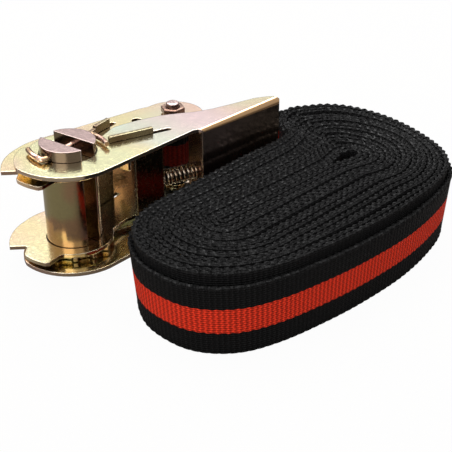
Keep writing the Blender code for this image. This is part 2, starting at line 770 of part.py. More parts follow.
def lead_path():
    """Free run of webbing from the sewn tail to the coil's outer turn."""
    end = eye_tail()[-1]
    along = Vector(end) - Vector(eye_tail()[-2])
    along.normalize()
    start = Vector(end) + along * FIT_GAP
    stop = coil_touch()
    run = stop[0] - start.x
    points = [tuple(start), (start.x + 0.23 * run, start.y - 1.2)]
    points += [(start.x + 0.486 * run, start.y - 1.4)]
    points += [(stop[0] - 0.217 * run, stop[1] - 0.9), stop]
    return smooth_points(points, False, 5)


def coil_touch():
    """Where the lead meets the coil, just clear of it."""
    x, y = coil_points()[COIL_LEAD_POINT]
    return (x - 1.0, y + 0.5 * STRAP_THICK + 0.65)


def ease(t):
    return t * t * (3.0 - 2.0 * t)


def build_lead(parent, mat):
    low = strap_low()

    def bottom(t):
        return low + (LEAD_LIFT - low) * ease(t)

    def top(t):
        return bottom(t) + STRAP_WIDTH

    lead = ribbon(lead_path(), bottom, top, 0.5 * STRAP_THICK)
    return from_bmesh("strap_lead", lead, parent, mat)


def coil_points():
    """Plan of the flat oval coil, anticlockwise from its left end.

    It is drawn for the 86 mm handle that it lies against, and follows its grip.
    """
    pts = [(-4.6, -50.0), (-4.2, -63.9), (0.3, -74.0), (9.8, -81.5), (22.8, -84.8)]
    pts += [(39.2, -85.6), (57.3, -85.0), (79.3, -82.2), (98.0, -77.0), (113.0, -70.0)]
    pts += [(121.8, -60.0), (126.6, -42.0), (127.8, -24.0), (124.6, -9.0), (118.0, 0.0)]
    pts += [(110.4, 3.9), (103.0, 7.0), (95.4, 3.4), (90.8, -4.6), (86.6, -12.3)]
    pts += [(62.0, -16.6), (44.0, -20.8), (28.0, -24.8), (13.6, -28.6), (2.2, -36.1)]
    stretch = HANDLE_LENGTH / 86.0
    shift = web_y(HANDLE_LENGTH) + 9.9
    return [(x * stretch, y + shift) for x, y in pts]


COIL_LEAD_POINT = 16


def inset(points, distance):
    """The closed outline moved inwards by distance."""
    out = []
    n = len(points)
    for i in range(n):
        along = Vector(points[(i + 1) % n]) - Vector(points[i - 1])
        along.normalize()
        out.append((points[i][0] - along.y * distance, points[i][1] + along.x * distance))
    return out


def leaned(point, z):
    """The coil's two ends lean outwards, so that its top is longer than its foot."""
    middle = Vector(COIL_MIDDLE)
    long_way = Vector(polar(1.0, COIL_LONG_WAY))
    out = (Vector(point) - middle).dot(long_way)
    lean = COIL_LEAN_RIGHT if out > 0.0 else COIL_LEAN_LEFT
    moved = Vector(point) + long_way * out * lean * z / STRAP_WIDTH
    return (moved.x, moved.y, z)


def build_coil(parent, mat):
    """The wound webbing as one solid: a low outer turn and the raised inner ones."""
    outline = [(x, y) for x, y in smooth_points(coil_points(), True, 3)]
    step = inset(outline, STRAP_THICK * 1.6)
    mesh_data = bmesh.new()
    loops = []
    for ring, z in ((step, 0.0), (outline, 0.0), (outline, STRAP_WIDTH), (step, STRAP_WIDTH)):
        loops.append([mesh_data.verts.new(leaned(point, z)) for point in ring])
    top = STRAP_WIDTH + COIL_LIFT
    loops.append([mesh_data.verts.new(leaned(point, top)) for point in step])
    n = len(outline)
    for a, b in zip(loops, loops[1:]):
        for k in range(n):
            m = (k + 1) % n
            mesh_data.faces.new((a[k], a[m], b[m], b[k]))
    mesh_data.faces.new(loops[0][::-1])
    mesh_data.faces.new(loops[-1])
    return from_bmesh("strap_coil", mesh_data, parent, mat)


# --- assembly ----------------------------------------------------------------
def stand_on_origin(root):
    """Moves the whole model so that its bounding box stands on the origin."""
    bpy.context.view_layer.update()
    graph = bpy.context.evaluated_depsgraph_get()
    low = Vector((1e9, 1e9, 1e9))
    high = Vector((-1e9, -1e9, -1e9))
    for obj in bpy.context.scene.objects:
        if obj.type != "MESH" or obj.hide_render:
            continue
        done = obj.evaluated_get(graph)
        for corner in done.bound_box:
            place = done.matrix_world @ Vector(corner)
            low = Vector(map(min, low, place))
            high = Vector(map(max, high, place))
    middle = 0.5 * (low + high)
    root.location = (-middle.x, -middle.y, -low.z)


def main():
    clear_scene()
    zinc = material("yellow_zinc", (0.78, 0.68, 0.38), 0.18, 1.0)
    pin_zinc = material("bronze_zinc", (0.60, 0.40, 0.30), 0.25, 1.0)
    wire = material("spring_wire", (0.55, 0.53, 0.48), 0.25, 1.0)
    web = material("black_webbing", (0.012, 0.012, 0.013), 0.8, 0.0)

    root = empty("row_frame", (0.0, 0.0, 0.0))
    handle_body = empty("handle_body", (0.0, 0.0, 0.0), root)
    frame_body = empty("frame_axis", (0.0, 0.0, Z_MID), root)
    spool_body = empty("spool_axis", (0.0, 0.0, Z_MID), frame_body)
    dx, dy = turned([(DRIVE_BODY_START, DRIVE_OFFSET)], DRIVE_ANGLE)[0]
    drive_body = empty("drive_pawl_slide", (dx, dy, Z_MID), handle_body)
    lx, ly = turned([(LOCK_BODY_START, LOCK_OFFSET)], LOCK_ANGLE)[0]
    lock_body = empty("lock_pawl_slide", (lx, ly, Z_MID), frame_body)

    build_handle(handle_body, zinc)
    build_coil(handle_body, web)
    build_frame(frame_body, zinc)
    build_bar("spool_bar_near", -1, spool_body, pin_zinc)
    build_bar("spool_bar_far", 1, spool_body, pin_zinc)
    build_wheel("ratchet_wheel_lower", Z_WHEEL_LOW, spool_body, zinc)
    build_wheel("ratchet_wheel_upper", Z_WHEEL_HIGH, spool_body, zinc)
    build_pin("split_pin_lower", -1, spool_body, pin_zinc)
    build_pin("split_pin_upper", 1, spool_body, pin_zinc)
    build_pawls(drive_body, lock_body, zinc)
    drive_line = (DRIVE_ANGLE, DRIVE_OFFSET)
    lock_line = (LOCK_ANGLE, LOCK_OFFSET)
    build_spring("drive_spring", DRIVE_BODY_END, TAB_AT, DRIVE_SPRING_R,
                 DRIVE_SPRING_TURNS, drive_line, handle_body, wire)
    build_spring("lock_spring", LOCK_BODY_END, LOCK_TAB_AT, LOCK_SPRING_R,
                 LOCK_SPRING_TURNS, lock_line, frame_body, wire)
    build_bolt(frame_body, zinc)
    build_eye(frame_body, web)
    build_lead(frame_body, web)
    stand_on_origin(root)


if __name__ == "__main__":
    main()
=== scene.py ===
"""A closed 25 mm ratchet buckle in yellow passivated steel beside its coiled webbing."""

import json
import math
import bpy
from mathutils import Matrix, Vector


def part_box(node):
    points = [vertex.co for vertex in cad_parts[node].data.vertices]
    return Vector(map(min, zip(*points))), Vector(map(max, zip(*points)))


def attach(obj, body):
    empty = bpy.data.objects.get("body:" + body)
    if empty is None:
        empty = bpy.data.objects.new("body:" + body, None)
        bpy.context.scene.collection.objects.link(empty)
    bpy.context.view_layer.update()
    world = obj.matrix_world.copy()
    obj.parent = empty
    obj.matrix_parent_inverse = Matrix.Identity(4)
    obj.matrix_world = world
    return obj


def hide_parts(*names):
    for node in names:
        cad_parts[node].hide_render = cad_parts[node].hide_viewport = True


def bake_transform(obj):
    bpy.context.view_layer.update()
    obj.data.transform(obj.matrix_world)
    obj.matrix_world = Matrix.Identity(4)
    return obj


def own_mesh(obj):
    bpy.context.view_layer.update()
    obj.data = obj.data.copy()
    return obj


bl_info = {
    "name": "Ratchet Strap",
    "version": (1, 0, 0),
    "blender": (4, 5, 0),
    "location": "3D View > Sidebar > Ratchet Strap",
    "description": "Finishes the buckle's steel and lays its webbing, springs and stitching",
    "category": "Object",
}

import bmesh
import bpy
from bpy.props import FloatProperty, FloatVectorProperty, PointerProperty
from mathutils import Matrix, Vector

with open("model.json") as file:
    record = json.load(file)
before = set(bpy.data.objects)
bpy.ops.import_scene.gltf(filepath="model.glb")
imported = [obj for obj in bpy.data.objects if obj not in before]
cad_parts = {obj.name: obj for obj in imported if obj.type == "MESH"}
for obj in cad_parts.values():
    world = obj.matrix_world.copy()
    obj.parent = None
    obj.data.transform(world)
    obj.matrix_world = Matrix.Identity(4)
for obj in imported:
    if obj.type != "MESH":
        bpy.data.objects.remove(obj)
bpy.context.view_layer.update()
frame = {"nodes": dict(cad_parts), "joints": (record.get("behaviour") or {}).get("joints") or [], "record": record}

MM = 0.001
MERGE = 2e-6                # points closer than this are one, in metres
JOINTS = {joint["name"]: joint for joint in frame["joints"]}
AXLE = Vector(JOINTS["frame_swing"]["pos_m"])


def place(x, y, z=0.0):
    """Millimetres from the foot of the spool axis, as a point of the frame in metres."""
    return Vector((AXLE.x + x * MM, AXLE.y + y * MM, z * MM))


# --- settings ----------------------------------------------------------------
class WebbingSettings(bpy.types.PropertyGroup):
    """Sizes and colours of the webbing"""

    width: FloatProperty(
        name="Width", description="Width of the webbing",
        default=0.025, min=0.01, max=0.1, unit="LENGTH",
    )
    thickness: FloatProperty(
        name="Thickness", description="Thickness of one layer of webbing",
        default=0.0015, min=0.0005, max=0.004, unit="LENGTH",
    )
    turns: FloatProperty(
        name="Turns", description="Turns wound in the coil", default=18.0, min=2.0, max=30.0,
    )
    stripe: FloatProperty(
        name="Stripe", description="Width of the coloured stripe down the middle",
        default=0.0086, min=0.0, max=0.05, unit="LENGTH",
    )
    pick: FloatProperty(
        name="Pick", description="Distance from one cross rib of the weave to the next",
        default=0.00165, min=0.0005, max=0.005, unit="LENGTH",
    )
    black: FloatVectorProperty(
        name="Ground", description="Colour of the ground weave", subtype="COLOR",
        default=(0.0050, 0.0048, 0.0050), min=0.0, max=1.0,
    )
    orange: FloatVectorProperty(
        name="Stripe colour", description="Colour of the stripe's yarn", subtype="COLOR",
        default=(0.80, 0.040, 0.014), min=0.0, max=1.0,
    )


class SteelSettings(bpy.types.PropertyGroup):
    """Colours and wear of the steel"""

    cream: FloatVectorProperty(
        name="Cream", description="Main tint of the passivated sheet", subtype="COLOR",
        default=(0.86, 0.74, 0.42), min=0.0, max=1.0,
    )
    rose: FloatVectorProperty(
        name="Rose", description="Pink tint of the passivated sheet", subtype="COLOR",
        default=(0.88, 0.55, 0.42), min=0.0, max=1.0,
    )
    mint: FloatVectorProperty(
        name="Mint", description="Pale green and blue tint of the passivated sheet",
        subtype="COLOR", default=(0.66, 0.80, 0.62), min=0.0, max=1.0,
    )
    bronze: FloatVectorProperty(
        name="Bronze", description="Main tint of the spool bars", subtype="COLOR",
        default=(0.36, 0.23, 0.13), min=0.0, max=1.0,
    )
    wear: FloatProperty(
        name="Edge wear", description="How bright the rubbed edges are",
        default=0.6, min=0.0, max=1.0, subtype="FACTOR",
    )


class StageSettings(bpy.types.PropertyGroup):
    """Floor, light and camera"""

    floor: FloatVectorProperty(
        name="Floor", description="Colour of the floor", subtype="COLOR",
        default=(0.16, 0.145, 0.135), min=0.0, max=1.0,
    )
    key_power: FloatProperty(
        name="Overhead light", description="Power of the soft light overhead",
        default=10.5, min=0.0, max=200.0, unit="POWER",
    )
    fill_power: FloatProperty(
        name="Fill light", description="Power of the soft light beside the camera",
        default=1.9, min=0.0, max=200.0, unit="POWER",
    )
    distance: FloatProperty(
        name="Camera distance", description="From the camera to the point it looks at",
        default=0.3967, min=0.1, max=5.0, unit="LENGTH",
    )
    lens: FloatProperty(
        name="Lens", description="Focal length of the camera in millimetres",
        default=84.5, min=10.0, max=300.0,
    )


# --- steel and bars, in millimetres and degrees -------------------------------
SLOT_ANGLE = -72.0          # direction of the slot between the spool bars
BAR_RADIUS = 9.6
BAR_FLAT = 3.0              # from the spool axis to the flat of each bar
BAR_TOP = 41.8              # the bars stand proud of the upper plate from here
BAND_DRIFT = 30.0           # how far noise moves the borders between tint bands
WORN = (0.92, 0.86, 0.72)   # colour of rubbed edges

# --- plan of the webbing, in millimetres from the spool axis ------------------
COIL_OUTLINE = (
    (-4.6, -50.0), (-4.2, -63.9), (0.3, -74.0), (9.8, -81.5), (22.8, -84.8),
    (39.2, -85.6), (57.3, -85.0), (79.3, -82.2), (98.0, -77.0), (113.0, -70.0),
    (121.8, -60.0), (126.6, -42.0), (127.8, -24.0), (124.6, -9.0), (118.0, 0.0),
    (110.4, 3.9), (103.0, 7.0), (95.4, 3.4), (90.1, -4.8), (86.0, -12.3),
    (62.0, -16.6), (44.0, -20.8), (28.0, -24.8), (13.6, -28.6), (2.2, -36.1),
)
COIL_START = 16             # outline point where the lead comes in
CORE_LEFT = Vector((27.5, -51.3))
CORE_RIGHT = Vector((92.5, -40.6))
COIL_MIDDLE = Vector((61.0, -41.0))
LONG_WAY = Vector((math.cos(math.radians(-38.0)), math.sin(math.radians(-38.0))))
LEAN_RIGHT = 0.030          # outward lean of each end of the coil at its upper edge
LEAN_LEFT = 0.045
FOLD_RADIUS = 0.95          # the innermost fold, closed along its middle
LEFT_EYE = 1.35
RIGHT_EYE = 3.3
INNER_LIFT = 3.8            # the inner turns stand this much above the outer one
EVEN_REACH = 26             # rays to each side that the inner turns' spacing is averaged over
STEP_FROM = 0.76            # share of a turn after which it steps in by one layer
WAVE = 0.35                 # slow wave of the middle turns, in plan
LEAD_PLAN = ((65.85, 7.42), (74.2, 6.2), (83.4, 6.0), (94.2, 7.5), (102.0, 8.4))
LEAD_DROP = 9.6             # the lead sinks this far on its way to the coil
RAMP = 11.0                 # length over which the coil's first turn takes up the lead
TAIL = Vector((50.5, 10.0))
TAIL_FOOT = 10.2            # lower edge of the webbing at the tail
TAIL_ALONG = Vector((0.987, -0.158))
TAIL_NORMAL = Vector((0.158, 0.987))
LOOP_RADIUS = 4.65          # middle of the layer that turns round the sleeve
PLY_GAP = 0.79              # from the middle of the sewn tail to the middle of each layer
SEWN_START = Vector((58.7, 7.79))
SEWN_MIDDLE = Vector((62.1, 7.24))
STEP = 0.75                 # spacing of the webbing's rings along its length
SEAM = 0.03                 # clear space between the lead's end and the coil's


def catmull(points, per_span, closed=False):
    """A smooth run of points through the given ones."""
    n = len(points)
    spans = n if closed else n - 1
    out = []
    for i in range(spans):
        if closed:
            p = [Vector(points[(i + k) % n]) for k in (-1, 0, 1, 2)]
        else:
            p = [Vector(points[min(max(i + k, 0), n - 1)]) for k in (-1, 0, 1, 2)]
        for k in range(per_span):
            t = k / per_span
            a = 2.0 * p[1] + (p[2] - p[0]) * t
            b = (2.0 * p[0] - 5.0 * p[1] + 4.0 * p[2] - p[3]) * t * t
            c = (3.0 * p[1] - p[0] - 3.0 * p[2] + p[3]) * t ** 3
            out.append(0.5 * (a + b + c))
    if not closed:
        out.append(Vector(points[-1]))
    return out


def ease(t):
    t = min(max(t, 0.0), 1.0)
    return t * t * (3.0 - 2.0 * t)


def spaced(points, step):
    """The same run with its points a step apart."""
    out = [points[0].copy()]
    left = step
    for a, b in zip(points, points[1:]):
        length = (b - a).length
        gone = 0.0
        while length - gone >= left:
            gone += left
            out.append(a.lerp(b, gone / length))
            left = step
        left -= length - gone
    return out


def core_point(q):
    """Nearest point to q on the line that the innermost turn folds round, and its radius."""
    along = CORE_RIGHT - CORE_LEFT
    t = (q - CORE_LEFT).dot(along) / along.length_squared
    t = min(max(t, 0.0), 1.0)
    radius = FOLD_RADIUS + (RIGHT_EYE - FOLD_RADIUS) * ease((t - 0.80) / 0.20)
    radius += (LEFT_EYE - FOLD_RADIUS) * ease((0.10 - t) / 0.10)
    return CORE_LEFT + along * t, radius


def coil_rays(thick):
    """For each outline point: its core point, direction, core radius, room and even room."""
    first = COIL_OUTLINE[COIL_START::-1] + COIL_OUTLINE[:COIL_START:-1]
    rays = []
    for q in catmull(first, 12, closed=True):
        core, radius = core_point(q)
        out = q - core
        room = out.length - 0.5 * thick - radius
        rays.append((core, out.normalized(), radius, room))
    n = len(rays)
    even = []
    for i in range(n):
        total = sum(rays[(i + k) % n][3] for k in range(-EVEN_REACH, EVEN_REACH + 1))
        even.append(total / (2 * EVEN_REACH + 1))
    return [ray + (even[i],) for i, ray in enumerate(rays)]


def coil_place(turn, turns, rays, thick):
    """Plan and lower edge of the coiled webbing, turn counted in from the lead."""
    n = len(rays)
    at = (turn % 1.0) * n
    i = int(at) % n
    mixed = at - int(at)
    one, two = rays[i], rays[(i + 1) % n]
    core = one[0].lerp(two[0], mixed)
    out = one[1].lerp(two[1], mixed).normalized()
    radius, room, even = (one[k] + (two[k] - one[k]) * mixed for k in (2, 3, 4))
    whole = math.floor(turn)
    step = ease((turn - whole - STEP_FROM) / (1.0 - STEP_FROM))
    share = max(0.0, 1.0 - (whole + step) / (turns - 1.0))
    pitch = room / (turns - 1.0)
    slack = max(0.0, pitch - 1.04 * thick) / pitch * min(1.0, share * turns)
    phase = 2.0 * math.pi * (6.0 * share + 2.0 * turn)
    share += 0.75 * slack / (12.0 * math.pi) * math.sin(phase) * ease(turn - 1.0)
    wave = math.sin(2.0 * math.pi * 4.0 * turn + 5.0 * share)
    swell = 4.0 * share * (1.0 - share)
    radius += share * (even + (room - even) * share ** 3) + WAVE * swell * wave
    lift = INNER_LIFT * ease((turn - 0.80) / 0.2)
    lift += ease(turn - 1.0) * 0.28 * math.sin(2.3 * whole + 1.0)
    lift += ease(turn - 1.0) * 0.22 * math.sin(4.0 * math.pi * turn + 0.7 * turn)
    plan = core + out * radius
    return Vector((plan.x, plan.y, lift))


def coil_path(turns, thick):
    """The whole coiled run from the lead's end in to the core."""
    rays = coil_rays(thick)
    steps = int(turns * 420)
    end = turns - 0.12
    spiral = [coil_place(end * k / steps, turns, rays, thick) for k in range(steps)]
    lead = spaced(lead_path(), STEP)
    toward = (lead[-1] - lead[-2]).normalized()
    start = lead[-1] + toward * SEAM
    joined = 10
    while (spiral[joined] - start).length < RAMP:
        joined += 1
    target = spiral[joined]
    reach = (target - start).length
    heading = (spiral[joined + 1] - target).normalized()
    ramp = []
    for k in range(24):
        t = k / 24.0
        a = start + toward * reach * t
        b = target - heading * reach * (1.0 - t)
        ramp.append(a.lerp(b, ease(t)))
    return spaced(ramp + spiral[joined:], STEP)


def lead_path():
    """Free run from the sewn tail to the coil, sinking to its level."""
    run = catmull(LEAD_PLAN, 16)
    count = len(run) - 1
    return [
        Vector((p.x, p.y, TAIL_FOOT - LEAD_DROP * ease(i / count))) for i, p in enumerate(run)
    ]


def eye_path():
    """Out along the tail, round the sleeve and back, as one layer of webbing."""
    apart = TAIL_NORMAL * PLY_GAP
    plan = [Vector((65.5, 6.70)) + apart, SEWN_MIDDLE + apart, SEWN_START + apart]
    plan.append(Vector((56.2, 9.35)))
    for k in range(18):
        a = math.radians(14.0 + 302.0 * k / 17.0)
        plan.append(TAIL + LOOP_RADIUS * Vector((math.cos(a), math.sin(a))))
    plan += [Vector((56.3, 7.25)), SEWN_START - apart, SEWN_MIDDLE - apart]
    plan.append(Vector((64.3, 6.89)) - apart)
    return [Vector((p.x, p.y, TAIL_FOOT)) for p in catmull(plan, 6)]


# section of the webbing: (share of the half thickness, share of the width)
SECTION = (
    (0.0, 0.0), (0.80, 0.014), (1.0, 0.050), (0.93, 0.11), (0.93, 0.5), (0.93, 0.89),
    (1.0, 0.950), (0.80, 0.986), (0.0, 1.0), (-0.80, 0.986), (-1.0, 0.950),
    (-0.93, 0.89), (-0.93, 0.5), (-0.93, 0.11), (-1.0, 0.050), (-0.80, 0.014),
)
LOOP_PITCH = 3.0            # one selvage loop to the next, in millimetres
LOOP_DROP_TOP = 0.36        # how far the upper edge dips between its loops
LOOP_DROP_FOOT = 0.22       # how far the lower edge rises between its loops
EDGE_WOBBLE = 0.34          # sideways wave of both edges


def selvage(along, v, side):
    """How the looped edge moves a section point: (thickness factor, rise)."""
    if 0.2 < v < 0.8:
        return 1.0, 0.0
    shift = 0.25 * side + (0.0 if v > 0.5 else 0.5)
    loop = abs(math.sin(math.pi * (along / LOOP_PITCH + shift)))
    near_edge = max(0.0, 1.0 - min(v, 1.0 - v) / 0.06)
    dip = near_edge * (1.0 - loop)
    rise = -LOOP_DROP_TOP * dip if v > 0.5 else LOOP_DROP_FOOT * dip
    return 1.0 + (0.34 * loop - 0.30) * min(1.0, 2.0 * near_edge), rise


def lean(x, y, height):
    """How far the coil's ends lean outwards, as a step in the plan."""
    out = (Vector((x, y)) - COIL_MIDDLE).dot(LONG_WAY)
    return LONG_WAY * out * (LEAN_RIGHT if out > 0.0 else LEAN_LEFT) * height


def webbing_mesh(name, path, width, thick, leaning=False):
    """One closed layer of webbing standing on edge along path."""
    rings = len(path)
    around = len(SECTION)
    mesh_data = bmesh.new()
    bmesh.ops.create_grid(mesh_data, x_segments=rings - 1, y_segments=around, size=0.5)
    mesh_data.verts.ensure_lookup_table()
    weave = mesh_data.loops.layers.uv.new("weave")
    local = {}
    for vert in mesh_data.verts:
        i = round((vert.co.x + 0.5) * (rings - 1))
        k = round((vert.co.y + 0.5) * around)
        before = path[max(i - 1, 0)]
        after = path[min(i + 1, rings - 1)]
        along = (after - before).to_2d().normalized()
        half, v = SECTION[k % around]
        distance = i * STEP
        factor, rise = selvage(distance, v, math.copysign(1.0, half))
        near_edge = max(0.0, 1.0 - min(v, 1.0 - v) / 0.10)
        wobble = EDGE_WOBBLE * near_edge * math.sin(2.0 * math.pi * distance / LOOP_PITCH)
        offset = 0.5 * thick * half * factor + wobble
        here = path[i]
        local[vert] = (distance * MM, v * width * MM)
        x, y = here.x - along.y * offset, here.y + along.x * offset
        z = here.z + v * width + rise
        if leaning:
            shift = lean(x, y, z / width)
            x, y = x + shift.x, y + shift.y
        vert.co = place(x, y, z)
    for face in mesh_data.faces:
        for loop in face.loops:
            loop[weave].uv = local[loop.vert]
    bmesh.ops.remove_doubles(mesh_data, verts=mesh_data.verts, dist=1e-7)
    ends = [e for e in mesh_data.edges if e.is_boundary]
    bmesh.ops.holes_fill(mesh_data, edges=ends, sides=0)
    bmesh.ops.recalc_face_normals(mesh_data, faces=mesh_data.faces)
    return finished(name, mesh_data)


def finished(name, mesh_data, angle=40.0):
    """An object at the origin from a bmesh already in the frame's coordinates."""
    mesh = bpy.data.meshes.new(name)
    mesh_data.to_mesh(mesh)
    mesh_data.free()
    obj = bpy.data.objects.new(name, mesh)
    bpy.context.scene.collection.objects.link(obj)
    mesh.shade_smooth()
    mesh.set_sharp_from_angle(angle=math.radians(angle))
    return obj


# --- node helpers ------------------------------------------------------------
class Nodes:
    """Short calls for making and joining nodes in one tree."""

    def __init__(self, tree):
        self.tree = tree

    def add(self, kind, values=None, **settings):
        node = self.tree.nodes.new(kind)
        for key, value in settings.items():
            setattr(node, key, value)
        for key, value in (values or {}).items():
            self.feed(value, node.inputs[key])
        return node

    def feed(self, value, socket):
        if isinstance(value, bpy.types.NodeSocket):
            self.tree.links.new(value, socket)
        else:
            socket.default_value = value

    def math(self, operation, a, b=0.0, c=0.0):
        node = self.add("ShaderNodeMath", {0: a, 1: b, 2: c}, operation=operation)
        return node.outputs[0]

    def mix(self, factor, a, b, blend="MIX"):
        node = self.add("ShaderNodeMix", data_type="RGBA", blend_type=blend)
        self.feed(factor, node.inputs[0])
        self.feed(a, node.inputs[6])
        self.feed(b, node.inputs[7])
        return node.outputs[2]

    def shaded(self, colour, amount):
        grey = self.add("ShaderNodeCombineColor", {0: amount, 1: amount, 2: amount})
        return self.mix(1.0, colour, grey.outputs[0], "MULTIPLY")

    def axis(self, vector, number):
        return self.add("ShaderNodeSeparateXYZ", {0: vector}).outputs[number]

    def dot(self, a, b):
        node = self.add("ShaderNodeVectorMath", {0: a, 1: b}, operation="DOT_PRODUCT")
        return node.outputs["Value"]

    def span(self, value, low, high, to_low=0.0, to_high=1.0):
        node = self.add("ShaderNodeMapRange", {0: value, 1: low, 2: high, 3: to_low, 4: to_high})
        node.interpolation_type = "SMOOTHSTEP"
        return node.outputs[0]

    def noise(self, vector, scale, detail=2.0, roughness=0.5):
        values = {"Vector": vector, "Scale": scale, "Detail": detail, "Roughness": roughness}
        return self.add("ShaderNodeTexNoise", values).outputs["Fac"]

    def moved(self, vector, location=(0, 0, 0), scale=(1, 1, 1), turn=(0, 0, 0)):
        values = {"Vector": vector, "Location": location, "Rotation": turn, "Scale": scale}
        return self.add("ShaderNodeMapping", values).outputs[0]


def group(name, inputs, outputs):
    """A shader node group with named sockets, and the helper that fills it."""
    tree = bpy.data.node_groups.new(name, "ShaderNodeTree")
    for label, kind, default in inputs:
        socket = tree.interface.new_socket(name=label, in_out="INPUT", socket_type=kind)
        if default is not None:
            socket.default_value = default
    for label, kind in outputs:
        tree.interface.new_socket(name=label, in_out="OUTPUT", socket_type=kind)
    nodes = Nodes(tree)
    inside = nodes.add("NodeGroupInput")
    result = nodes.add("NodeGroupOutput")
    return nodes, inside.outputs, result.inputs


FLOAT = "NodeSocketFloat"
COLOUR = "NodeSocketColor"
VECTOR = "NodeSocketVector"
WARP_PITCH = 0.00078        # one warp yarn to the next, in metres


def passivation_group():
    """Slow drift between three tints, as a zinc film's thickness changes."""
    inputs = [("Vector", VECTOR, None), ("Scale", FLOAT, 30.0), ("First", COLOUR, None)]
    inputs += [("Second", COLOUR, None), ("Third", COLOUR, None), ("Roughness", FLOAT, 0.15)]
    nodes, given, result = group(
        "passivation", inputs, [("Color", COLOUR), ("Roughness", FLOAT)]
    )
    broad = nodes.noise(given["Vector"], given["Scale"], 1.5, 0.45)
    other = nodes.noise(nodes.moved(given["Vector"], (0.31, 0.17, 0.05)), given["Scale"], 1.0, 0.4)
    tint = nodes.mix(nodes.span(broad, 0.42, 0.60), given["First"], given["Second"])
    tint = nodes.mix(nodes.span(other, 0.50, 0.66), tint, given["Third"])
    small = nodes.noise(given["Vector"], 900.0, 3.0, 0.6)
    shade = nodes.span(small, 0.3, 0.7, 0.92, 1.0)
    nodes.feed(nodes.shaded(tint, shade), result["Color"])
    rough = nodes.math("MULTIPLY", given["Roughness"], nodes.span(small, 0.3, 0.7, 0.8, 1.35))
    nodes.feed(rough, result["Roughness"])
    return nodes.tree


def edge_group():
    """Rounded normals at the edges, and a mask of where the finish is rubbed."""
    inputs = [("Vector", VECTOR, None), ("Radius", FLOAT, 0.0004), ("Amount", FLOAT, 0.6)]
    nodes, given, result = group("edge_wear", inputs, [("Mask", FLOAT), ("Normal", VECTOR)])
    bevel = nodes.add("ShaderNodeBevel", {"Radius": given["Radius"]}, samples=6)
    plain = nodes.add("ShaderNodeNewGeometry").outputs["Normal"]
    turn = nodes.math("SUBTRACT", 1.0, nodes.dot(bevel.outputs[0], plain))
    patchy = nodes.span(nodes.noise(given["Vector"], 420.0, 3.0, 0.6), 0.35, 0.65, 0.3, 1.0)
    mask = nodes.math("MULTIPLY", nodes.span(turn, 0.02, 0.16), patchy)
    nodes.feed(nodes.math("MULTIPLY", mask, given["Amount"]), result["Mask"])
    nodes.feed(bevel.outputs[0], result["Normal"])
    return nodes.tree


def grain_group():
    """Rolling marks of the sheet with a few fine scratches."""
    nodes, given, result = group("sheet_grain", [("Vector", VECTOR, None)], [("Height", FLOAT)])
    long_grain = nodes.moved(given["Vector"], scale=(60.0, 1400.0, 1400.0))
    lines = nodes.noise(long_grain, 1.0, 3.0, 0.6)
    orange_peel = nodes.noise(given["Vector"], 260.0, 2.0, 0.5)
    scratch_space = nodes.moved(given["Vector"], scale=(90.0, 2600.0, 900.0), turn=(0.2, 0.1, 0.7))
    scratch = nodes.span(nodes.noise(scratch_space, 1.0, 1.0, 0.4), 0.66, 0.72)
    height = nodes.math("MULTIPLY_ADD", lines, 0.25, orange_peel)
    nodes.feed(nodes.math("MULTIPLY_ADD", scratch, -0.07, height), result["Height"])
    return nodes.tree


